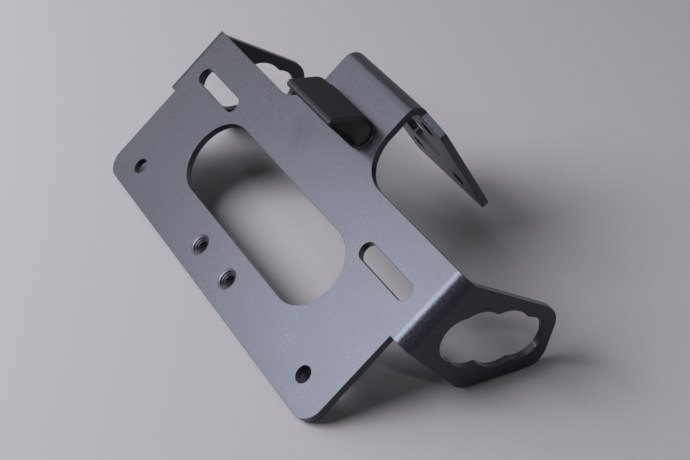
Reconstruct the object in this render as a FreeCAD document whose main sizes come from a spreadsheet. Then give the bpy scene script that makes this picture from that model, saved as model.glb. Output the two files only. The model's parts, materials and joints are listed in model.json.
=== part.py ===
"""Tail tidy: a folded sheet bracket that carries a number plate and its plate light.

The upright plate stands across the motorcycle (X), with its show face towards -Y and +Z up. Two
lobed ears fold back from its sides, and a tongue on its top edge folds back into a flared flange
that bolts up under the tail. The origin lies on the flange's upper face, midway between its front holes.

Sketches are drawn in the plate's own frame (X across, Y back from the show face, Z up from the bottom
edge), and every sub-part is then moved by the same amount, so that the seat is the origin.
"""
import FreeCAD, Part
import math
import os
import re

import Sketcher

SIZES = {
    # folded sheet
    "sheet_thickness": 3.0,
    "bend_inner": 3.0,
    # upright plate
    "plate_width": 180.0,
    "plate_height": 74.3,
    "plate_corner": 8.0,
    "fixing_spacing": 146.0,
    "fixing_height": 11.2,
    "fixing_bore": 6.6,
    "slot_spacing": 136.7,
    "slot_height": 56.4,
    "slot_length": 32.4,
    "slot_width": 7.1,
    "pair_spacing": 24.2,
    "pair_height": 10.6,
    "pair_bore": 4.3,
    "countersink_width": 8.6,
    "window_length": 109.2,
    "window_width": 32.0,
    "window_height": 37.6,
    # ears, seen from the side: reach is measured back from the show face
    "fold_margin": 1.6,
    "ear_bottom": 42.7,
    "ear_foot_reach": 37.3,
    "ear_foot_round": 9.0,
    "ear_tip_reach": 61.4,
    "ear_tip_height": 67.9,
    "ear_tip_round": 8.0,
    "ear_crest_reach": 48.6,
    "ear_crest_height": 86.8,
    "ear_crest_round": 9.0,
    # the lobes of the ear opening stand in a row that climbs towards the tip
    "lobe_reach": 20.4,
    "lobe_height": 57.2,
    "lobe_tilt": 30.0,
    "lobe_two_along": 5.9,
    "lobe_three_along": 17.5,
    "lobe_four_along": 26.8,
    "lobe_one_radius": 9.1,
    "lobe_two_radius": 11.6,
    "lobe_three_radius": 11.9,
    "lobe_four_radius": 9.0,
    "cusp_round": 2.6,
    # tongue and flange: reach is measured along the flange from the end of its bend
    "tongue_width": 46.8,
    "neck_round": 16.0,
    "bend_height": 100.6,
    "flange_drop": 9.1,
    "flange_length": 59.0,
    "flare_width": 62.5,
    "flare_reach": 8.0,
    "flare_round": 2.0,
    "tail_width": 51.0,
    "tail_round": 4.0,
    "seat_bore": 7.0,
    "front_seat_spacing": 39.0,
    "front_seat_reach": 10.4,
    "rear_seat_spacing": 29.6,
    "rear_seat_reach": 46.8,
    "pass_width": 22.0,
    "pass_start": 14.8,
    "pass_end": 36.4,
    "pass_round": 4.0,
    # plate light: heights are measured from the middle of its foot, reach forward of its mounting face
    "light_height": 84.2,
    "gasket_thickness": 1.0,
    "foot_width": 39.0,
    "foot_height": 11.9,
    "foot_thickness": 2.0,
    "hood_width": 34.0,
    "hood_height": 11.0,
    "hood_reach": 18.9,
    "hood_slope": 40.0,
    "hood_lip": 0.7,
    "hood_wall": 1.6,
    "shoulder_round": 7.3,
    "hood_end_round": 1.5,
    "lens_thickness": 1.9,
    "lens_round": 1.2,
    "screw_spacing": 26.0,
    "screw_rise": 0.9,
    "screw_bore": 4.5,
    "boss_width": 7.0,
    "boss_length": 6.0,
    "insert_width": 5.2,
    "insert_length": 5.5,
    "runout_length": 7.0,
    "cord_bore": 5.0,
    "grommet_sleeve": 8.0,
    "grommet_rim": 11.0,
    "grommet_rim_thickness": 1.2,
    # lamp board and its three lamps
    "board_length": 29.6,
    "board_width": 6.0,
    "board_thickness": 0.8,
    "board_rise": 0.6,
    "board_gap": 0.2,
    "rib_spacing": 13.0,
    "rib_thickness": 1.2,
    "lamp_spacing": 9.0,
    "lamp_length": 3.5,
    "lamp_width": 2.8,
    "lamp_height": 0.5,
    # screws and washers
    "screw_width": 4.0,
    "screw_length": 10.0,
    "screw_head_width": 7.6,
    "screw_head_height": 2.2,
    "screw_head_bevel": 0.6,
    "socket_width": 2.5,
    "socket_depth": 1.3,
    "washer_width": 9.0,
    "washer_thickness": 0.8,
}

# how far a cut or an outline runs past the material, in mm, so that it leaves no skin
PAST = "1"

# how near two lengths, or the sine of the angle between two directions, count as the same
SAME = 0.001

DERIVED = {
    "bend_outer": "(bend_inner + sheet_thickness)",
    "fold_across": "(plate_width / 2 + fold_margin)",
    "ear_span": "(2 * (fold_across + bend_outer))",
    "ear_inner": "(ear_span / 2 - sheet_thickness)",
    "ear_depth": f"(max(ear_tip_reach; ear_crest_reach) + {PAST})",
    "ear_ceiling": f"(max(ear_tip_height; ear_crest_height) + {PAST})",
    "flange_start_back": "(bend_outer + bend_outer * sin(flange_drop))",
    "flange_start_up": "(bend_height + bend_outer * cos(flange_drop))",
    "strip_reach": "(flare_reach / 2)",
    "strip_root": "(plate_height - 2 * sheet_thickness)",
    "seat_back": "(flange_start_back + front_seat_reach * cos(flange_drop))",
    "seat_up": "(flange_start_up - front_seat_reach * sin(flange_drop))",
    "hood_top": "(light_height + hood_height / 2)",
    "lens_bottom": "(light_height - hood_height / 2)",
    "hood_bottom": "(lens_bottom + lens_thickness)",
    "lip_top": "(hood_bottom + hood_lip)",
    "foot_front": "(gasket_thickness + foot_thickness)",
    "hood_floor": "(hood_bottom - 2 * hood_end_round)",
    "hood_shoulder": "(hood_reach - (hood_top - lip_top) / tan(hood_slope))",
    "slanted_wall": "(hood_wall / cos(hood_slope))",
    "cavity_top": "(hood_top - hood_wall)",
    "cavity_shoulder": "(hood_reach - (cavity_top - lip_top + slanted_wall) / tan(hood_slope))",
    "cavity_lip": "(hood_reach - (slanted_wall - hood_lip) / tan(hood_slope))",
    "screw_height": "(light_height + screw_rise)",
    "boss_front": "(foot_front + boss_length)",
    "board_back": "(boss_front + board_gap)",
    "board_bottom": "(hood_bottom + board_rise)",
    "board_top": "(board_bottom + board_thickness)",
    "board_front": "(board_back + board_width)",
}

doc = FreeCAD.newDocument("tail_tidy")
sheet = doc.addObject("Spreadsheet::Sheet", "sizes")
for row, (alias, value) in enumerate(SIZES.items(), 1):
    sheet.set(f"A{row}", alias)
    sheet.set(f"B{row}", str(value))
    sheet.setAlias(f"B{row}", alias)
doc.recompute()

SUB_PARTS = []
ACROSS = FreeCAD.Vector(1, 0, 0)
BACK = FreeCAD.Vector(0, 1, 0)
UP = FreeCAD.Vector(0, 0, 1)


def formula(text):
    """A formula in plain size names, written out with the sheet's cells."""
    def cell(match):
        word = match[0]
        if word in DERIVED:
            return formula(DERIVED[word])
        return f"sizes.{word}" if word in SIZES else word
    return re.sub(r"[a-z_]+", cell, str(text))


def number(text):
    """The value that a formula has now."""
    return float(sheet.evalExpression(formula(text)))


def bind(thing, **properties):
    """Ties properties to formulas. Base_x stands for Placement.Base.x, and so on."""
    for name, text in properties.items():
        path = f"Placement.{name.replace('_', '.')}" if name.startswith("Base_") else name
        thing.setExpression(path, formula(text))


def seat(thing, across="0", back="0", up="0"):
    """Places a sub-part of the plate's own frame in the frame of the seat, and lists it for the files."""
    bind(thing, Base_x=across, Base_y=f"{back} - seat_back", Base_z=f"{up} - seat_up")
    SUB_PARTS.append(thing)
    return thing


def body(label):
    return doc.addObject("PartDesign::Body", label)


def sketch(owner, name, plane, ahead=None):
    """An empty sketch on one of the body's own planes, moved along the plane's normal if asked."""
    drawing = owner.newObject("Sketcher::SketchObject", name)
    support = next(item for item in owner.Origin.OriginFeatures if item.Role == f"{plane}_Plane")
    drawing.AttachmentSupport = [(support, "")]
    drawing.MapMode = "FlatFace"
    if ahead is not None:
        drawing.setExpression("AttachmentOffset.Base.z", formula(ahead))
    return drawing


def flange_sketch(owner, name):
    """A sketch on the flange's upper face: X across and Y back along the flange from its bend."""
    drawing = sketch(owner, name, "XY")
    drawing.AttachmentOffset = FreeCAD.Placement(
        FreeCAD.Vector(0, 0, 0), FreeCAD.Rotation(FreeCAD.Vector(-1, 0, 0), number("flange_drop")))
    drawing.setExpression("AttachmentOffset.Base.y", formula("flange_start_back"))
    drawing.setExpression("AttachmentOffset.Base.z", formula("flange_start_up"))
    drawing.setExpression("AttachmentOffset.Rotation.Angle", formula("flange_drop"))
    return drawing


def tie(drawing, kind, *target):
    """Adds one constraint and binds it to its formula, which comes last."""
    *where, text = target
    index = drawing.addConstraint(Sketcher.Constraint(kind, *where, number(text)))
    drawing.setExpression(f"Constraints[{index}]", formula(text))


def point(drawing, geometry, end, across, up):
    tie(drawing, "DistanceX", -1, 1, geometry, end, across)
    tie(drawing, "DistanceY", -1, 1, geometry, end, up)


def outline(drawing, corners):
    """A closed outline. A corner is (across, up), and a third value is the radius of the bend that
    runs from the corner before it, to the left of its chord where the radius starts with a minus."""
    spots = [FreeCAD.Vector(number(corner[0]), number(corner[1]), 0) for corner in corners]
    first = len(drawing.Geometry)
    for place, corner in enumerate(corners):
        start, stop = spots[place - 1], spots[place]
        if len(corner) == 2:
            drawing.addGeometry(Part.LineSegment(start, stop), False)
            continue
        signed = number(corner[2])
        chord = stop - start
        rise = math.sqrt(signed ** 2 - chord.Length ** 2 / 4)
        side = FreeCAD.Vector(-chord.y, chord.x, 0).normalize() * math.copysign(1, signed)
        centre = (start + stop) / 2 - side * rise
        middle = centre + side * abs(signed)
        drawing.addGeometry(Part.Arc(start, middle, stop), False)
    for place, corner in enumerate(corners):
        here, following = first + place, first + (place + 1) % len(corners)
        arc, next_arc = len(corner) == 3, len(corners[(place + 1) % len(corners)]) == 3
        end = far_end(drawing, here, spots[place]) if arc else 2
        start = far_end(drawing, following, spots[place]) if next_arc else 1
        drawing.addConstraint(Sketcher.Constraint("Coincident", here, end, following, start))
        point(drawing, here, end, *corner[:2])
        if arc:
            tie(drawing, "Radius", here, f"abs({corner[2]})")


def far_end(drawing, geometry, spot):
    """Which end of an arc lies at a spot: the sketcher turns every arc anticlockwise."""
    return 1 if (drawing.getPoint(geometry, 1) - spot).Length < SAME else 2


def rectangle(drawing, left, right, low, high):
    outline(drawing, [(left, low), (right, low), (right, high), (left, high)])


def circle(drawing, across, up, diameter):
    spot = FreeCAD.Vector(number(across), number(up), 0)
    ring = drawing.addGeometry(Part.Circle(spot, UP, number(diameter) / 2), False)
    point(drawing, ring, 3, across, up)
    tie(drawing, "Diameter", ring, diameter)


def obround(drawing, across, up, length, width):
    """A level slot: two round ends joined by two straight sides that run on smoothly."""
    reach = f"({length} - {width}) / 2"
    x, y, half, radius = number(across), number(up), number(reach), number(width) / 2
    ends = []
    for side, start in ((1, -90), (-1, 90)):
        ring = Part.Circle(FreeCAD.Vector(x + side * half, y, 0), UP, radius)
        turn = math.radians(start)
        ends.append(drawing.addGeometry(Part.ArcOfCircle(ring, turn, turn + math.pi), False))
    top = drawing.addGeometry(Part.LineSegment(
        FreeCAD.Vector(x + half, y + radius, 0), FreeCAD.Vector(x - half, y + radius, 0)), False)
    bottom = drawing.addGeometry(Part.LineSegment(
        FreeCAD.Vector(x - half, y - radius, 0), FreeCAD.Vector(x + half, y - radius, 0)), False)
    right, left = ends
    for one, end, two, start in ((right, 2, top, 1), (top, 2, left, 1), (left, 2, bottom, 1),
                                 (bottom, 2, right, 1)):
        drawing.addConstraint(Sketcher.Constraint("Tangent", one, end, two, start))
    drawing.addConstraint(Sketcher.Constraint("Equal", right, left))
    tie(drawing, "Diameter", right, width)
    point(drawing, right, 3, f"{across} + {reach}", up)
    point(drawing, left, 3, f"{across} - {reach}", up)


def pad(owner, drawing, length, symmetric=False, backwards=False):
    feature = owner.newObject("PartDesign::Pad", f"{drawing.Name}_pad")
    feature.Profile = drawing
    feature.SideType = "Symmetric" if symmetric else "One side"
    feature.Reversed = backwards
    bind(feature, Length=length)
    doc.recompute()
    return feature


def pocket(owner, drawing, depth=None, symmetric=False, backwards=False):
    """Cuts a sketch out of the body, right through where no depth is given, and proves that it cut."""
    before = owner.Shape.Volume
    feature = owner.newObject("PartDesign::Pocket", f"{drawing.Name}_pocket")
    feature.Profile = drawing
    feature.Type = "ThroughAll" if depth is None else "Length"
    feature.SideType = "Symmetric" if symmetric else "One side"
    feature.Reversed = backwards
    if depth is not None:
        bind(feature, Length=depth)
    doc.recompute()
    if not owner.Shape.Volume < before:
        raise RuntimeError(f"{feature.Name} cuts nothing")
    return feature


def edges_through(shape, direction, spots):
    """Names of the straight edges that run in a direction through any of the given points, or as near
    to one as the solver leaves them."""
    reach = 20 * SAME
    names = []
    for index, edge in enumerate(shape.Edges, 1):
        if edge.Curve.TypeId != "Part::GeomLine":
            continue
        if edge.tangentAt(edge.FirstParameter).cross(direction).Length > SAME:
            continue
        if any((edge.CenterOfMass - spot).cross(direction).Length < reach for spot in spots):
            names.append(f"Edge{index}")
    return names


def dress(owner, kind, name, names, **sizes):
    """Rounds or bevels named edges of the body as it stands."""
    if not names:
        raise RuntimeError(f"{name} finds no edge")
    base = owner.Tip
    feature = owner.newObject(f"PartDesign::{kind}", name)
    feature.Base = (base, names)
    bind(feature, **sizes)
    doc.recompute()
    return feature


def round_edges(owner, name, direction, spots, radius):
    dress(owner, "Fillet", name, edges_through(owner.Shape, direction, spots), Radius=radius)


def on_flange(across, along):
    """A point of the flange's upper face."""
    drop = math.radians(number("flange_drop"))
    back = number("flange_start_back") + number(along) * math.cos(drop)
    up = number("flange_start_up") - number(along) * math.sin(drop)
    return FreeCAD.Vector(number(across), back, up)


def fold_ears(bracket):
    """The plate with its two ears: one channel section, trimmed from the side and from the front."""
    section = sketch(bracket, "channel", "XY")
    outline(section, [
        ("fold_across", "0"),
        ("ear_span / 2", "bend_outer", "-bend_outer"),
        ("ear_span / 2", "ear_depth"),
        ("ear_inner", "ear_depth"),
        ("ear_inner", "bend_outer"),
        ("fold_across", "sheet_thickness", "bend_inner"),
        ("-fold_across", "sheet_thickness"),
        ("-ear_inner", "bend_outer", "bend_inner"),
        ("-ear_inner", "ear_depth"),
        ("-ear_span / 2", "ear_depth"),
        ("-ear_span / 2", "bend_outer"),
        ("-fold_across", "0", "-bend_outer"),
    ])
    pad(bracket, section, "ear_ceiling")

    side = sketch(bracket, "ear_trim", "YZ")
    outline(side, [
        ("sheet_thickness", "ear_bottom"),
        ("ear_foot_reach", "ear_bottom"),
        ("ear_tip_reach", "ear_tip_height"),
        ("ear_crest_reach", "ear_crest_height"),
        ("bend_outer", "plate_height"),
        ("-sheet_thickness", "plate_height"),
        ("-sheet_thickness", f"ear_ceiling + {PAST}"),
        (f"ear_depth + {PAST}", f"ear_ceiling + {PAST}"),
        (f"ear_depth + {PAST}", f"-{PAST}"),
        ("sheet_thickness", f"-{PAST}"),
    ])
    pocket(bracket, side, symmetric=True)

    notch = sketch(bracket, "side_trim", "XZ")
    for side_name in ("", "-"):
        rectangle(notch, f"{side_name}plate_width / 2", f"{side_name}(ear_span / 2 + {PAST})",
                  f"-{PAST}", "ear_bottom")
    pocket(bracket, notch, f"sheet_thickness + {PAST}")

    half = number("plate_width") / 2
    round_edges(bracket, "plate_corners", BACK,
                [FreeCAD.Vector(half, 0, 0), FreeCAD.Vector(-half, 0, 0)], "plate_corner")
    for corner, up in (("foot", "ear_bottom"), ("tip", "ear_tip_height"), ("crest", "ear_crest_height")):
        spot = FreeCAD.Vector(0, number(f"ear_{corner}_reach"), number(up))
        round_edges(bracket, f"ear_{corner}_corners", ACROSS, [spot], f"ear_{corner}_round")


def fold_flange(bracket):
    """The tongue, its bend and the flared flange, with the concave necks at the plate's top edge."""
    strip = sketch(bracket, "tongue", "YZ")
    outline(strip, [
        ("0", "bend_height"),
        ("flange_start_back", "flange_start_up", "bend_outer"),
        ("flange_start_back + strip_reach * cos(flange_drop)",
         "flange_start_up - strip_reach * sin(flange_drop)"),
        ("flange_start_back + strip_reach * cos(flange_drop) - sheet_thickness * sin(flange_drop)",
         "flange_start_up - strip_reach * sin(flange_drop) - sheet_thickness * cos(flange_drop)"),
        ("bend_outer + bend_inner * sin(flange_drop)", "bend_height + bend_inner * cos(flange_drop)"),
        ("sheet_thickness", "bend_height", "-bend_inner"),
        ("sheet_thickness", "strip_root"),
        ("0", "strip_root"),
    ])
    pad(bracket, strip, "tongue_width", symmetric=True)

    half = number("tongue_width") / 2
    top = number("plate_height")
    round_edges(bracket, "necks", BACK,
                [FreeCAD.Vector(half, 0, top), FreeCAD.Vector(-half, 0, top)], "neck_round")

    flare = flange_sketch(bracket, "flange")
    outline(flare, [
        ("-tongue_width / 2", "0"),
        ("tongue_width / 2", "0"),
        ("flare_width / 2", "flare_reach"),
        ("tail_width / 2", "flange_length"),
        ("-tail_width / 2", "flange_length"),
        ("-flare_width / 2", "flare_reach"),
    ])
    pad(bracket, flare, "sheet_thickness", backwards=True)

    drop = math.radians(number("flange_drop"))
    through = FreeCAD.Vector(0, math.sin(drop), math.cos(drop))
    for name, width, reach in (("tail", "tail_width", "flange_length"),
                               ("flare", "flare_width", "flare_reach")):
        spots = [on_flange(f"{sign}{width} / 2", reach) for sign in ("", "-")]
        round_edges(bracket, f"{name}_corners", through, spots, f"{name}_round")


def pierce_plate(bracket):
    """The plate's fixing holes, slots, window and countersunk pair, and the holes behind the light."""
    holes = sketch(bracket, "fixing_holes", "XZ")
    slots = sketch(bracket, "slots", "XZ")
    pair = sketch(bracket, "pair", "XZ")
    lamp_holes = sketch(bracket, "light_holes", "XZ")
    for sign in ("", "-"):
        circle(holes, f"{sign}fixing_spacing / 2", "fixing_height", "fixing_bore")
        obround(slots, f"{sign}slot_spacing / 2", "slot_height", "slot_length", "slot_width")
        circle(pair, f"{sign}pair_spacing / 2", "pair_height", "pair_bore")
        circle(lamp_holes, f"{sign}screw_spacing / 2", "screw_height", "screw_bore")
    circle(lamp_holes, "0", "screw_height", "grommet_sleeve")
    window = sketch(bracket, "window", "XZ")
    obround(window, "0", "window_height", "window_length", "window_width")
    for drawing in (holes, slots, pair, lamp_holes, window):
        pocket(bracket, drawing, f"sheet_thickness + {PAST}")

    rims = [f"Edge{index}" for index, edge in enumerate(bracket.Shape.Edges, 1)
            if edge.Curve.TypeId == "Part::GeomCircle"
            and abs(edge.Curve.Radius - number("pair_bore") / 2) < SAME
            and abs(edge.CenterOfMass.y) < SAME
            and abs(edge.CenterOfMass.z - number("pair_height")) < SAME]
    dress(bracket, "Chamfer", "countersinks", rims, Size="(countersink_width - pair_bore) / 2")


def pierce_ears(bracket):
    """The lobed opening of both ears: four overlapping rounds in a climbing row, cut one by one."""
    for count in ("one", "two", "three", "four"):
        along = "0" if count == "one" else f"lobe_{count}_along"
        lobe = sketch(bracket, f"lobe_{count}", "YZ")
        circle(lobe, f"lobe_reach + {along} * cos(lobe_tilt)", f"lobe_height + {along} * sin(lobe_tilt)",
               f"2 * lobe_{count}_radius")
        pocket(bracket, lobe, symmetric=True)
    round_edges(bracket, "cusps", ACROSS, lobe_cusps(), "cusp_round")


def lobe_cusps():
    """The points where neighbouring lobes cross, above and below the line of their centres."""
    tilt = math.radians(number("lobe_tilt"))
    onward = FreeCAD.Vector(0, math.cos(tilt), math.sin(tilt))
    aside = FreeCAD.Vector(0, -math.sin(tilt), math.cos(tilt))
    start = FreeCAD.Vector(0, number("lobe_reach"), number("lobe_height"))
    lobes = [(0 if count == "one" else number(f"lobe_{count}_along"), number(f"lobe_{count}_radius"))
             for count in ("one", "two", "three", "four")]
    cusps = []
    for (along, radius), (next_along, next_radius) in zip(lobes, lobes[1:]):
        gap = next_along - along
        ahead = (gap ** 2 + radius ** 2 - next_radius ** 2) / (2 * gap)
        rise = math.sqrt(radius ** 2 - ahead ** 2)
        for side in (1, -1):
            cusps.append(start + onward * (along + ahead) + aside * side * rise)
    return cusps


def pierce_flange(bracket):
    """The flange's four seat holes and the opening that the wiring goes up through."""
    holes = flange_sketch(bracket, "seat_holes")
    for sign in ("", "-"):
        for pair in ("front", "rear"):
            circle(holes, f"{sign}{pair}_seat_spacing / 2", f"{pair}_seat_reach", "seat_bore")
    pocket(bracket, holes, f"sheet_thickness + {PAST}")
    opening = flange_sketch(bracket, "wiring_pass")
    rectangle(opening, "-pass_width / 2", "pass_width / 2", "pass_start", "pass_end")
    pocket(bracket, opening, f"sheet_thickness + {PAST}")
    drop = math.radians(number("flange_drop"))
    through = FreeCAD.Vector(0, math.sin(drop), math.cos(drop))
    spots = [on_flange(f"{sign}pass_width / 2", reach)
             for sign in ("", "-") for reach in ("pass_start", "pass_end")]
    round_edges(bracket, "pass_corners", through, spots, "pass_round")


def make_bracket():
    bracket = body("bracket")
    fold_ears(bracket)
    fold_flange(bracket)
    pierce_plate(bracket)
    pierce_ears(bracket)
    pierce_flange(bracket)
    return seat(bracket)


def make_gasket():
    gasket = body("light_gasket")
    shape = sketch(gasket, "gasket_outline", "XZ")
    obround(shape, "0", "light_height", "foot_width", "foot_height")
    for sign in ("", "-"):
        circle(shape, f"{sign}screw_spacing / 2", "screw_height", "screw_bore")
    circle(shape, "0", "screw_height", "cord_bore")
    pad(gasket, shape, "gasket_thickness")
    return seat(gasket)


def make_housing():
    """The light's hood: a sloped shell open below, a foot, two screw bosses and two board ribs.

    The hood starts larger than it ends up, below and in front, so that the rounding of its end edges
    runs on past the thin lip. It is then trimmed to the lip.
    """
    housing = body("light_housing")
    hood = sketch(housing, "hood", "YZ")
    outline(hood, [
        ("-gasket_thickness - foot_thickness / 2", "hood_floor"),
        ("-gasket_thickness - foot_thickness / 2", "hood_top"),
        ("-hood_shoulder", "hood_top"),
        (f"-(hood_reach + {PAST})", f"lip_top - {PAST} * tan(hood_slope)"),
        (f"-(hood_reach + {PAST})", "hood_floor"),
    ])
    pad(housing, hood, "hood_width", symmetric=True)
    shoulder = FreeCAD.Vector(0, -number("hood_shoulder"), number("hood_top"))
    round_edges(housing, "shoulder", ACROSS, [shoulder], "shoulder_round")
    ends = [FreeCAD.Vector(side * number("hood_width") / 2, 0, number("hood_top")) for side in (1, -1)]
    round_edges(housing, "hood_ends", BACK, ends, "hood_end_round")

    trim = sketch(housing, "hood_trim", "YZ")
    outline(trim, [
        (PAST, "hood_bottom"),
        ("-hood_reach", "hood_bottom"),
        ("-hood_reach", f"lip_top + {PAST}"),
        (f"-(hood_reach + 2 * {PAST})", f"lip_top + {PAST}"),
        (f"-(hood_reach + 2 * {PAST})", f"hood_floor - {PAST}"),
        (PAST, f"hood_floor - {PAST}"),
    ])
    pocket(housing, trim, symmetric=True)

    foot = sketch(housing, "foot", "XZ", ahead="gasket_thickness")
    obround(foot, "0", "light_height", "foot_width", "foot_height")
    pad(housing, foot, "foot_thickness")

    cavity = sketch(housing, "cavity", "YZ")
    outline(cavity, [
        ("-foot_front", "hood_bottom"),
        ("-foot_front", "cavity_top"),
        ("-cavity_shoulder", "cavity_top"),
        ("-cavity_lip", "hood_bottom"),
    ])
    pocket(housing, cavity, "hood_width - 2 * hood_wall", symmetric=True)

    bosses = sketch(housing, "bosses", "XZ", ahead="foot_front - foot_thickness / 2")
    for sign in ("", "-"):
        circle(bosses, f"{sign}screw_spacing / 2", "screw_height", "boss_width")
    pad(housing, bosses, "boss_length + foot_thickness / 2")

    mid_wall = "lip_top + (hood_reach - {}) * tan(hood_slope) - slanted_wall / 2"
    for name, sign in (("right", ""), ("left", "-")):
        rib = sketch(housing, f"{name}_rib", "YZ", ahead=f"{sign}rib_spacing / 2")
        outline(rib, [
            ("-board_back", "board_top"),
            ("-board_back", mid_wall.format("board_back")),
            ("-board_front", mid_wall.format("board_front")),
            ("-board_front", "board_top"),
        ])
        pad(housing, rib, "rib_thickness", symmetric=True)

    for name, width, depth in (("insert_seats", "insert_width", "insert_length"),
                               ("runouts", "screw_bore", "runout_length")):
        seats = sketch(housing, name, "XZ", ahead="gasket_thickness")
        for sign in ("", "-"):
            circle(seats, f"{sign}screw_spacing / 2", "screw_height", width)
        pocket(housing, seats, depth, backwards=True)
    cord = sketch(housing, "cord_hole", "XZ", ahead="gasket_thickness")
    circle(cord, "0", "screw_height", "cord_bore")
    pocket(housing, cord, f"foot_thickness + {PAST}", backwards=True)
    return seat(housing)


def make_lens():
    lens = body("light_lens")
    shape = sketch(lens, "lens_side", "YZ")
    outline(shape, [
        ("-foot_front", "lens_bottom"),
        ("-foot_front", "hood_bottom"),
        ("-hood_reach", "hood_bottom"),
        ("-hood_reach", "lens_bottom"),
    ])
    pad(lens, shape, "hood_width", symmetric=True)
    ends = [FreeCAD.Vector(side * number("hood_width") / 2, -number("hood_reach"), 0) for side in (1, -1)]
    round_edges(lens, "lens_ends", UP, ends, "hood_end_round")
    front = FreeCAD.Vector(0, -number("hood_reach"), number("lens_bottom"))
    round_edges(lens, "lens_rim", ACROSS, [front], "lens_round")
    return seat(lens)


def make_block(label, length, width, height, across, back, up):
    """A plain block given by its left, front and bottom sides."""
    block = doc.addObject("Part::Box", label)
    bind(block, Length=length, Width=width, Height=height)
    return seat(block, across, back, up)


def make_board():
    """The lamp board hangs under the ribs, with its three lamps on the side that faces the lens."""
    make_block("light_board", "board_length", "board_width", "board_thickness",
               "-board_length / 2", "-board_front", "board_bottom")
    for name, place in (("left", "-lamp_spacing"), ("centre", "0"), ("right", "lamp_spacing")):
        make_block(f"lamp_{name}", "lamp_length", "lamp_width", "lamp_height",
                   f"{place} - lamp_length / 2", "-(board_back + board_front + lamp_width) / 2",
                   "board_bottom - lamp_height")


def turned(label, profile):
    """A body turned about its own Y axis from a half profile of (along, out) corners."""
    piece = body(label)
    half = sketch(piece, f"{label}_profile", "YZ")
    outline(half, profile)
    spin = piece.newObject("PartDesign::Revolution", f"{label}_turn")
    spin.Profile = half
    axis = next(item for item in piece.Origin.OriginFeatures if item.Role == "Y_Axis")
    spin.ReferenceAxis = (axis, [""])
    spin.Angle = 360
    doc.recompute()
    return piece


def make_fixings():
    """Threaded inserts in the bosses, and the screws and washers that come in from behind."""
    for name, sign in (("left", "-"), ("right", "")):
        across = f"{sign}screw_spacing / 2"
        insert = turned(f"insert_{name}", [
            ("0", "screw_width / 2"),
            ("0", "insert_width / 2"),
            ("-insert_length", "insert_width / 2"),
            ("-insert_length", "screw_width / 2"),
        ])
        seat(insert, across, "-gasket_thickness", "screw_height")

        washer = turned(f"light_washer_{name}", [
            ("0", "screw_bore / 2"),
            ("0", "washer_width / 2"),
            ("washer_thickness", "washer_width / 2"),
            ("washer_thickness", "screw_bore / 2"),
        ])
        seat(washer, across, "sheet_thickness", "screw_height")

        screw = turned(f"light_screw_{name}", [
            ("-screw_length", "0"),
            ("-screw_length", "screw_width / 2"),
            ("0", "screw_width / 2"),
            ("0", "screw_head_width / 2"),
            ("screw_head_height - screw_head_bevel", "screw_head_width / 2"),
            ("screw_head_height", "screw_head_width / 2 - screw_head_bevel"),
            ("screw_head_height", "0"),
        ])
        socket = sketch(screw, f"socket_{name}", "XZ", ahead="-screw_head_height")
        outline(socket, [(f"socket_width / sqrt(3) * cos({turn})", f"socket_width / sqrt(3) * sin({turn})")
                         for turn in range(0, 360, 60)])
        pocket(screw, socket, "socket_depth", backwards=True)
        seat(screw, across, "sheet_thickness + washer_thickness", "screw_height")


def make_grommet():
    """The rubber grommet in the tongue that the light's lead would come out through."""
    grommet = turned("lead_grommet", [
        ("0", "cord_bore / 2"),
        ("0", "grommet_sleeve / 2"),
        ("sheet_thickness", "grommet_sleeve / 2"),
        ("sheet_thickness", "grommet_rim / 2"),
        ("sheet_thickness + grommet_rim_thickness", "grommet_rim / 2"),
        ("sheet_thickness + grommet_rim_thickness", "cord_bore / 2"),
    ])
    seat(grommet, "0", "0", "screw_height")


def write_files():
    """Checks every object and sub-part, then writes one file for each sub-part."""
    doc.recompute()
    for item in doc.Objects:
        if "Invalid" in item.State or "Error" in item.State:
            raise RuntimeError(f"{item.Label} failed: {item.State}")
    for item in SUB_PARTS:
        shape = item.Shape
        if shape.isNull() or not shape.isValid() or len(shape.Solids) != 1:
            raise RuntimeError(f"{item.Label} isn't one valid solid")
    os.makedirs("parts", exist_ok=True)
    for item in SUB_PARTS:
        item.Shape.exportStep(f"parts/{item.Label}.step")
        box = item.Shape.BoundBox
        print(f"{item.Label}: volume {item.Shape.Volume:.1f} mm3, {box.XLength:.1f} x {box.YLength:.1f}"
              f" x {box.ZLength:.1f} mm")


make_bracket()
make_gasket()
make_housing()
make_lens()
make_board()
make_fixings()
make_grommet()
write_files()
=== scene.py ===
"""Looks of the tail tidy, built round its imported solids.

All of it is in metres in the solids' own frame: X across the motorcycle, the plate's show face towards -Y,
+Z up, and the origin on the flange's upper face. The object lies on its back as in the photograph, on the
plate's lower back edge and the tips of its ears, so the floor is a tilted plane.
"""
import json
import math

import bmesh
import bpy
import numpy as np
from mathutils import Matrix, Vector


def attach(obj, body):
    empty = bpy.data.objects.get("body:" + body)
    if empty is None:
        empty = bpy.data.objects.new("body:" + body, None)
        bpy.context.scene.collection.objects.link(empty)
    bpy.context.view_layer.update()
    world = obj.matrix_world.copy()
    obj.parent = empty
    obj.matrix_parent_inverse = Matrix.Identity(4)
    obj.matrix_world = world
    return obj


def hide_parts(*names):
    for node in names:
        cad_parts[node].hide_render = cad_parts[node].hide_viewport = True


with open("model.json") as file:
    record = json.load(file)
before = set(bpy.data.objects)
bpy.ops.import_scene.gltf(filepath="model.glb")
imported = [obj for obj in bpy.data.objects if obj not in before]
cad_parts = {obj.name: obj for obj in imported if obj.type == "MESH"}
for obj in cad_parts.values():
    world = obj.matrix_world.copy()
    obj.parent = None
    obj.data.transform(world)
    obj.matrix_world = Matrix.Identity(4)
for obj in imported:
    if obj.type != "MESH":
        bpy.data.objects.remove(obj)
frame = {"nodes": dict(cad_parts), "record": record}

MM = 0.001
nodes = frame["nodes"]
mounts = {mount["name"]: mount for mount in frame["record"]["mounts"]}
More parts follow.
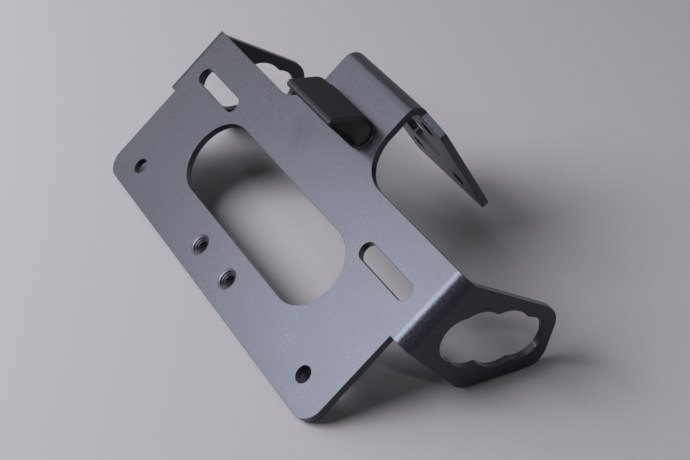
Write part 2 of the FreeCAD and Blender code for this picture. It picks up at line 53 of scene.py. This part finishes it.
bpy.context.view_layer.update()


# Sizes

PLATE_FACE = mounts["plate_face"]["pos_m"][1]
COUNTERSINK_UP = mounts["countersunk_pair"]["pos_m"][2]
COUNTERSINK_ACROSS = mounts["countersunk_pair"]["dims"]["spacing_x_mm"] / 2 * MM
COUNTERSINK_RADIUS = 4.3 * MM
CUTTER_TREADS = ((4.14, 3.46), (3.42, 2.80), (2.76, 2.25))   # outer and inner radius of each step, in mm
TREAD_FALL = 0.22                # how much deeper a step's inner edge lies than its outer one, in mm
TREAD_ROUND = 0.03               # the rounding of its corners, in mm
DARK_PATCH_MIDDLE = (-11.6 * MM, PLATE_FACE, -35.6 * MM)             # the middle of a faint darker patch painted on the plate, below the hood
DARK_PATCH_CORE = 2.0 * MM
DARK_PATCH_REACH = 10.0 * MM
FOOT_THICKNESS = 2.0 * MM        # of the light's housing
HOOD_RISE = 5.5 * MM             # the hood's top above the middle of its foot
HOOD_END_ROUND = 1.5 * MM
POLISH_FROM = 0.9 * MM           # where the polish of the hood's ends begins, inside of the lens strip's end
POLISH_FULL = 0.3 * MM
FLARE_TOP = 5.2 * MM             # where the flare ends, above the middle of the foot
FLARE_SPREAD = 3.3               # how far the flare runs up the hood for each length that it stands out
FLARE_CURVE = 1.8                # the power of the curve in which it stands out
FLARE_SUNK = 0.4 * MM            # how far its hidden faces lie inside the housing
FLARE_INSET = 0.12 * MM          # how far it stays within the rim of the foot


# Shader maths

class Value:
    """A socket of a finish. Arithmetic on it adds Math nodes."""

    def __init__(self, finish, socket):
        self.finish = finish
        self.socket = socket

    def math(self, operation, *terms):
        return self.finish.node("ShaderNodeMath", {"operation": operation}, dict(enumerate(terms)))

    def __add__(self, other):
        return self.math("ADD", self, other)

    def __rsub__(self, other):
        return self.math("SUBTRACT", other, self)

    def __mul__(self, other):
        return self.math("MULTIPLY", self, other)

    def over(self, low, high):
        """The value as a share of the way from low to high, held between 0 and 1."""
        return self.finish.node("ShaderNodeMapRange", {"clamp": True},
                                {"Value": self, "From Min": low, "From Max": high})


class Finish:
    """A procedural material. Numbers that hold all over go straight on the shader's sockets."""

    def __init__(self, name, **even):
        self.material = bpy.data.materials.new(name)
        self.material.use_nodes = True
        self.tree = self.material.node_tree
        self.shader = self.tree.nodes["Principled BSDF"]
        for socket, value in even.items():
            self.feed(self.shader.inputs[socket.replace("_", " ")], value)
        self.place = self.node("ShaderNodeTexCoord", output="Object")

    def feed(self, socket, value):
        """Links the socket to a Value, or sets it to a plain number or colour."""
        if isinstance(value, Value):
            self.tree.links.new(value.socket, socket)
        else:
            socket.default_value = value

    def node(self, kind, settings=None, inputs=None, output=0):
        """Any node: its settings come first, then its sockets are set or linked. Gives one output."""
        made = self.tree.nodes.new(kind)
        for name, setting in (settings or {}).items():
            setattr(made, name, setting)
        for name, value in (inputs or {}).items():
            self.feed(made.inputs[name], value)
        return Value(self, made.outputs[output])

    def noise(self, size, detail=2.0, rough=0.5):
        """Cloudy noise whose features are about this many metres across."""
        return self.node("ShaderNodeTexNoise", None, {
            "Vector": self.place, "Scale": 1 / size, "Detail": detail, "Roughness": rough}, "Fac")

    def cells(self, size):
        """Voronoi cells about this many metres across: the distance from each one's middle."""
        return self.node("ShaderNodeTexVoronoi", None, {"Vector": self.place, "Scale": 1 / size}, "Distance")

    def blend(self, share, one, two):
        """Colour one where the share is 0 and colour two where it is 1."""
        return self.node("ShaderNodeMix", {"data_type": "RGBA"}, {0: share, 6: one, 7: two}, 2)

    def bump(self, height, depth, strength=1.0):
        """Relief from a height of 0 to 1 that stands for this many metres."""
        return self.node("ShaderNodeBump", None,
                         {"Height": height, "Distance": depth, "Strength": strength}, "Normal")

    def paint(self, **varying):
        """Feeds what varies over the surface to the shader and gives the finished material."""
        for socket, value in varying.items():
            self.feed(self.shader.inputs[socket.replace("_", " ")], value)
        return self.material


def powder_coat():
    """Fine textured satin powder coat: near black in the shade, blue-grey where it catches the light.

    The colour is painted darker in a soft patch on the plate below the hood.
    """
    coat = Finish("powder_coat", IOR=1.5, Specular_IOR_Level=0.56, Specular_Tint=(0.74, 0.79, 1.0, 1))
    grain = coat.noise(0.55 * MM, 2.0, 0.6)
    clump = coat.noise(0.9 * MM, 1.0)
    pores = coat.cells(0.8 * MM)
    cloud = coat.noise(14 * MM, 2.0)
    patch = coat.noise(5.0 * MM, 2.0).over(0.2, 0.5)
    # a darker patch painted into the base colour, full at its middle and fading out towards its reach
    away = coat.node("ShaderNodeVectorMath", {"operation": "DISTANCE"}, {0: coat.place, 1: DARK_PATCH_MIDDLE}, "Value")
    dark_patch = patch * (1 - away.over(DARK_PATCH_CORE, DARK_PATCH_REACH))
    shade = coat.blend(clump.over(0.25, 0.75), (0.006, 0.006, 0.008, 1), (0.023, 0.024, 0.031, 1))
    relief = coat.bump(grain * 0.4 + clump * 0.5 + pores * 0.1, 0.042 * MM, 1.0)
    return coat.paint(Base_Color=coat.blend(dark_patch, shade, (0.001, 0.001, 0.001, 1)),
                      Roughness=clump.over(0.3, 0.7) * 0.06 + cloud * 0.05 + 0.25, Normal=relief)


def hood_plastic():
    """Black moulded plastic with a fine spark-eroded texture, polished a little on the hood's two ends."""
    plastic = Finish("hood_plastic", IOR=1.5, Specular_IOR_Level=0.04, Coat_IOR=1.5, Coat_Roughness=0.3)
    grain = plastic.noise(0.35 * MM, 2.0)
    across = plastic.node("ShaderNodeSeparateXYZ", None, {"Vector": plastic.place}, "X")
    hood_end = reach_of("light_lens")[1][0]
    ends = across.math("ABSOLUTE", across).over(hood_end - POLISH_FROM, hood_end - POLISH_FULL)
    shade = plastic.blend(grain.over(0.3, 0.7), (0.012, 0.012, 0.015, 1), (0.018, 0.018, 0.023, 1))
    return plastic.paint(Base_Color=shade, Roughness=grain * 0.12 + 0.34, Coat_Weight=ends * 0.8,
                         Normal=plastic.bump(grain, 0.03 * MM, 0.5))


def lens_clear():
    """Clear moulded plastic over a dark inside, a little frosted."""
    lens = Finish("lens_clear", Transmission_Weight=0.3, IOR=1.49, Specular_IOR_Level=0.06)
    grain = lens.noise(0.6 * MM, 2.0)
    shade = lens.blend(grain.over(0.3, 0.7), (0.013, 0.013, 0.018, 1), (0.019, 0.019, 0.027, 1))
    return lens.paint(Base_Color=shade, Roughness=grain * 0.08 + 0.40)


def gasket_rubber():
    """Soft black rubber squeezed to a wet-looking, uneven rim."""
    rubber = Finish("gasket_rubber", IOR=1.6, Specular_IOR_Level=1.0,
                    Coat_Weight=1.0, Coat_IOR=1.8, Coat_Roughness=0.04)
    wave = rubber.noise(1.3 * MM, 1.0)
    shade = rubber.blend(wave.over(0.3, 0.7), (0.010, 0.010, 0.011, 1), (0.018, 0.018, 0.019, 1))
    return rubber.paint(Base_Color=shade, Roughness=wave * 0.1 + 0.08,
                        Normal=rubber.bump(wave, 0.45 * MM, 1.0))


def rubber_black():
    """Dry matt rubber with a faint bloom."""
    rubber = Finish("rubber_black", Specular_IOR_Level=0.35)
    bloom = rubber.noise(1.2 * MM, 3.0)
    shade = rubber.blend(bloom.over(0.3, 0.7), (0.012, 0.012, 0.013, 1), (0.022, 0.022, 0.023, 1))
    return rubber.paint(Base_Color=shade, Roughness=bloom * 0.15 + 0.62,
                        Normal=rubber.bump(bloom, 0.03 * MM, 0.4))


def board_black():
    """Black solder mask with the faint relief of its copper tracks."""
    board = Finish("board_black", IOR=1.5)
    tracks = board.noise(0.9 * MM, 1.0).over(0.45, 0.55)
    shade = board.blend(tracks, (0.020, 0.020, 0.021, 1), (0.034, 0.034, 0.036, 1))
    return board.paint(Base_Color=shade, Roughness=tracks * 0.05 + 0.28,
                       Normal=board.bump(tracks, 0.03 * MM, 0.4))


def lamp_resin():
    """Pale yellow resin over the lamp's die."""
    resin = Finish("lamp_resin", Specular_IOR_Level=0.5)
    mottle = resin.noise(0.4 * MM, 2.0)
    shade = resin.blend(mottle.over(0.3, 0.7), (0.72, 0.60, 0.18, 1), (0.82, 0.72, 0.30, 1))
    return resin.paint(Base_Color=shade, Roughness=mottle * 0.1 + 0.25)


def insert_brass():
    """Turned brass."""
    brass = Finish("insert_brass", Metallic=1.0)
    turned = brass.noise(0.3 * MM, 3.0)
    shade = brass.blend(turned.over(0.3, 0.7), (0.60, 0.42, 0.17, 1), (0.72, 0.53, 0.25, 1))
    return brass.paint(Base_Color=shade, Roughness=turned * 0.15 + 0.25)


def fixing_steel():
    """Black plated steel: dark, with a dry sheen that thins a little in patches."""
    steel = Finish("fixing_steel", Metallic=0.8)
    patch = steel.noise(1.4 * MM, 4.0, 0.6)
    shade = steel.blend(patch.over(0.35, 0.7), (0.055, 0.055, 0.058, 1), (0.13, 0.13, 0.135, 1))
    return steel.paint(Base_Color=shade, Roughness=patch * 0.2 + 0.32,
                       Normal=steel.bump(patch, 0.01 * MM, 0.3))


# Shapes

CREASE_ANGLE = 30.0
BEVEL_ANGLE = 35.0
FLAT_ANGLE = 0.4
WELD = 0.002 * MM                # corners of a packed face closer than this are one
SKIN_WELD = 0.0002 * MM


def smooth(mesh):
    """Smooth shading that keeps a crease where two faces meet at more than the crease angle."""
    skin = bmesh.new()
    skin.from_mesh(mesh)
    for face in skin.faces:
        face.smooth = True
    for edge in skin.edges:
        edge.smooth = len(edge.link_faces) == 2 and edge.calc_face_angle() < math.radians(CREASE_ANGLE)
    skin.to_mesh(mesh)
    skin.free()


def carry_on(node, name, material, edge, steps):
    """The node's own shape as one closed skin, with its edges softened by a bevel. It stands for the node."""
    skin = bmesh.new()
    skin.from_mesh(nodes[node].data)
    bmesh.ops.remove_doubles(skin, verts=skin.verts, dist=WELD)
    bmesh.ops.dissolve_limit(skin, angle_limit=math.radians(FLAT_ANGLE), verts=skin.verts, edges=skin.edges)
    mesh = bpy.data.meshes.new(name)
    skin.to_mesh(mesh)
    skin.free()
    piece = new_piece(name, mesh, material)
    smooth(mesh)
    bevel = piece.modifiers.new("softened_edges", "BEVEL")
    bevel.width = edge
    bevel.segments = steps
    bevel.limit_method = "ANGLE"
    bevel.angle_limit = math.radians(BEVEL_ANGLE)
    bevel.harden_normals = True
    level = piece.modifiers.new("level_faces", "WEIGHTED_NORMAL")
    level.keep_sharp = True
    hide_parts(node)
    return piece


def new_piece(name, mesh, material):
    """A visible piece of the one body, at the origin, unturned and unscaled."""
    piece = bpy.data.objects.new(name, mesh)
    bpy.context.scene.collection.objects.link(piece)
    mesh.materials.clear()
    mesh.materials.append(material)
    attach(piece, "root")
    return piece


def turned_piece(name, profile, axis_point, material, turns):
    """A ring turned about a line along Y: each (along, out) of a closed profile goes round at its radius."""
    along, out = np.array(profile).T
    angle = np.linspace(0, 2 * math.pi, turns, endpoint=False)
    x = axis_point[0] + out[None, :] * np.cos(angle)[:, None]
    y = axis_point[1] + along[None, :] + 0 * angle[:, None]
    z = axis_point[2] + out[None, :] * np.sin(angle)[:, None]
    return new_piece(name, grid_mesh(name, np.stack([x, y, z], -1), True), material)


def grid_mesh(name, points, closed_rows=False):
    """A closed skin from a grid of points whose columns run round.

    Open rows are drawn to a point at each end.
    """
    if not closed_rows:
        ends = points[[0, -1]].mean(1, keepdims=True) + 0 * points[[0, -1]]
        points = np.concatenate([ends[:1], points, ends[1:]])
    rows, columns = points.shape[:2]
    index = np.arange(rows * columns).reshape(rows, columns)
    here = index if closed_rows else index[:-1]
    below = np.roll(index, -1, 0) if closed_rows else index[1:]
    faces = np.stack([here, below, np.roll(below, -1, 1), np.roll(here, -1, 1)], -1).reshape(-1, 4)
    mesh = bpy.data.meshes.new(name)
    mesh.from_pydata(points.reshape(-1, 3).tolist(), [], faces.tolist())
    skin = bmesh.new()
    skin.from_mesh(mesh)
    bmesh.ops.remove_doubles(skin, verts=skin.verts, dist=SKIN_WELD)
    bmesh.ops.recalc_face_normals(skin, faces=skin.faces)
    skin.to_mesh(mesh)
    skin.free()
    smooth(mesh)
    return mesh


def round_profile(corners, radius, steps):
    """A closed profile with each corner rounded: points along arcs between the points where they touch."""
    corners = np.array(corners, float)
    rounded = []
    for before, corner, after in zip(np.roll(corners, 1, 0), corners, np.roll(corners, -1, 0)):
        one = (before - corner) / np.linalg.norm(before - corner)
        two = (after - corner) / np.linalg.norm(after - corner)
        half = math.acos(np.clip(one @ two, -1, 1)) / 2
        middle = corner + (one + two) / np.linalg.norm(one + two) * radius / math.sin(half)
        start = corner + one * radius / math.tan(half) - middle
        stop = corner + two * radius / math.tan(half) - middle
        for share in np.linspace(0, 1, steps + 1):
            spoke = start * (1 - share) + stop * share
            rounded.append(middle + spoke / np.linalg.norm(spoke) * radius)
    return np.array(rounded)


def reach_of(node):
    """The lowest and the highest corner of a node's own shape."""
    places = np.array([tuple(vertex.co) for vertex in nodes[node].data.vertices])
    return places.min(0), places.max(0)


def countersink_steps(name, across, material):
    """Three shallow steps that the cutter left in a countersink, on its 45 degree cone."""
    treads = []
    for outer, inner in CUTTER_TREADS:
        depth = (COUNTERSINK_RADIUS - outer * MM) / MM
        treads += [(depth, outer), (depth + TREAD_FALL, inner)]
    treads += [(2.12, 2.18), (2.40, 2.24), (0.40, 4.20)]     # the inner lip, and the back inside the plate
    profile = round_profile(treads, TREAD_ROUND, 2) * MM
    return turned_piece(name, profile, (across, PLATE_FACE, COUNTERSINK_UP), material, 72)


def hood_flare(name, side, material):
    """The flare that carries the hood's flat end out to the round rim of its foot."""
    low, high = reach_of("light_housing")
    lens_high = reach_of("light_lens")[1]
    middle, rim = (low[2] + high[2]) / 2, (high[2] - low[2]) / 2
    face = high[1] - FOOT_THICKNESS
    up = np.linspace(lens_high[2], middle + FLARE_TOP, 32)[:, None]
    turned_in = np.clip(up - (middle + HOOD_RISE - HOOD_END_ROUND), 0, None)
    base = lens_high[0] - HOOD_END_ROUND + np.sqrt(HOOD_END_ROUND ** 2 - turned_in ** 2)
    out = high[0] - rim + np.sqrt(rim ** 2 - (up - middle) ** 2) - FLARE_INSET
    stand = np.clip(out - base, 0, None)
    along = np.linspace(0, 1, 9)[None, :]
    inside, behind = base - FLARE_SUNK, 0 * up + face + FLARE_SUNK
    x = np.hstack([inside, base + stand * along ** FLARE_CURVE, base + stand, inside])
    top = face - FLARE_SPREAD * stand
    y = np.hstack([top, top + (face - top) * along, behind, behind])
    points = np.stack([side * x, y, up + 0 * x], -1)
    return new_piece(name, grid_mesh(name, points), material)


# Finishes and pieces

coat = powder_coat()
hood = hood_plastic()
steel = fixing_steel()

carry_on("bracket", "bracket_coated", coat, 0.3 * MM, 3)
carry_on("light_housing", "light_hood", hood, 0.25 * MM, 2)
for side, sign in (("left", -1), ("right", 1)):
    countersink_steps(f"countersink_steps_{side}", sign * COUNTERSINK_ACROSS, coat)
    hood_flare(f"light_hood_flare_{side}", sign, hood)
carry_on("light_lens", "light_lens_strip", lens_clear(), 0.2 * MM, 2)
carry_on("light_gasket", "light_gasket_ring", gasket_rubber(), 0.42 * MM, 4)
for side in ("left", "right"):
    carry_on(f"light_screw_{side}", f"light_screw_{side}_plated", steel, 0.12 * MM, 2)
    carry_on(f"light_washer_{side}", f"light_washer_{side}_plated", steel, 0.1 * MM, 2)
    nodes[f"insert_{side}"].data.materials.clear()
    nodes[f"insert_{side}"].data.materials.append(insert_brass())
carry_on("light_board", "light_board_masked", board_black(), 0.08 * MM, 1)
for place in ("left", "centre", "right"):
    carry_on(f"lamp_{place}", f"lamp_{place}_chip", lamp_resin(), 0.08 * MM, 1)
carry_on("lead_grommet", "lead_grommet_rubber", rubber_black(), 0.3 * MM, 2)


# Floor, lamps and camera

TABLE_AHEAD = Vector((0, 0.6491, 0.7607))    # along the floor, from the plate's lower edge to its ears
TABLE_UP = Vector((0, -0.7607, 0.6491))
TABLE_SPOT = Vector((0, -14.218 * MM, -104.880 * MM))       # the plate's lower back edge
FLOOR_GAP = 0.1 * MM
FLOOR_REACH = 6.0
LAMPS_AIM = Vector((0, 0, -0.05))
ACROSS = Vector((1, 0, 0))


def floor():
    """A plain pale floor that shows from above only, so that it hides nothing from behind."""
    spots = [TABLE_SPOT - TABLE_UP * FLOOR_GAP + (ACROSS * across + TABLE_AHEAD * ahead) * FLOOR_REACH
             for across, ahead in ((-1, -1), (1, -1), (1, 1), (-1, 1))]
    mesh = bpy.data.meshes.new("floor")
    mesh.from_pydata(spots, [], [(0, 1, 2, 3)])
    ground = bpy.data.objects.new("floor", mesh)
    bpy.context.scene.collection.objects.link(ground)
    pale = Finish("floor_pale", Specular_IOR_Level=0.1, Roughness=0.9)
    pale.feed(pale.shader.inputs["Base Color"], (0.315, 0.307, 0.331, 1))
    out = pale.tree.nodes["Material Output"]
    behind = pale.node("ShaderNodeNewGeometry", output="Backfacing")
    shadow = pale.node("ShaderNodeLightPath", output="Is Shadow Ray")
    hidden = behind.math("MAXIMUM", behind, shadow)
    clear = pale.node("ShaderNodeBsdfTransparent")
    shown = Value(pale, pale.shader.outputs[0])
    sided = pale.node("ShaderNodeMixShader", None, {0: hidden, 1: shown, 2: clear})
    pale.feed(out.inputs["Surface"], sided)
    mesh.materials.append(pale.material)


def lamp(name, elevation, azimuth, size, power, distance=1.0):
    """A round soft white lamp, placed by its direction from the object as seen on the floor.

    Elevation and azimuth are in degrees, size and distance in metres, power in watts.
    """
    rise, turn = math.radians(elevation), math.radians(azimuth)
    level = ACROSS * math.cos(turn) + TABLE_AHEAD * math.sin(turn)
    towards = TABLE_UP * math.sin(rise) + level * math.cos(rise)
    light = bpy.data.lights.new(name, "AREA")
    light.shape = "DISK"
    light.size = size
    light.energy = power
    holder = bpy.data.objects.new(name, light)
    bpy.context.scene.collection.objects.link(holder)
    holder.location = LAMPS_AIM + towards * distance
    holder.rotation_euler = towards.to_track_quat("Z", "Y").to_euler()


floor()
lamp("main", 42, 255, 1.0, 36.0, distance=1.5)
lamp("front", 31, 228, 0.4, 3.6)
lamp("left", 40, 190, 0.6, 1.9)
lamp("low", 17, 206, 0.3, 0.3)
lamp("right", 46, 342, 0.06, 0.9)
lamp("behind", -35, 100, 0.9, 6.0)

# The room shows its grey to the camera, in reflections and through clear pieces, and lights the rest faintly.
ROOM_GREY = (0.30, 0.294, 0.312, 1)
ROOM_LIGHT = 0.06
world = bpy.data.worlds.new("room")
world.use_nodes = True
bpy.context.scene.world = world
room = world.node_tree
seen = room.nodes.new("ShaderNodeLightPath")
direct, clear = (room.nodes.new("ShaderNodeMath") for _ in range(2))
strength = room.nodes.new("ShaderNodeMapRange")
for node in (direct, clear):
    node.operation = "MAXIMUM"
room.links.new(seen.outputs["Is Camera Ray"], direct.inputs[0])
room.links.new(seen.outputs["Is Glossy Ray"], direct.inputs[1])
room.links.new(direct.outputs[0], clear.inputs[0])
room.links.new(seen.outputs["Is Transmission Ray"], clear.inputs[1])
room.links.new(clear.outputs[0], strength.inputs["Value"])
strength.inputs["To Min"].default_value = ROOM_LIGHT
strength.inputs["To Max"].default_value = 1.0
room.links.new(strength.outputs["Result"], room.nodes["Background"].inputs["Strength"])
room.nodes["Background"].inputs["Color"].default_value = ROOM_GREY

# The camera that was fitted to the photograph
CAMERA_PLACE = (0.41106, -0.38715, -0.00619)
CAMERA_TURN = (0.530414, 0.677398, 0.014239, 0.509500)
CAMERA_LENS = 76.84

camera = bpy.data.objects.new("camera", bpy.data.cameras.new("camera"))
bpy.context.scene.collection.objects.link(camera)
bpy.context.scene.camera = camera
camera.data.sensor_width = 36
camera.data.lens = CAMERA_LENS
camera.data.clip_start = 0.01
camera.location = CAMERA_PLACE
camera.rotation_mode = "QUATERNION"
camera.rotation_quaternion = CAMERA_TURN

bpy.context.scene.view_settings.view_transform = "Standard"

bpy.context.view_layer.update()
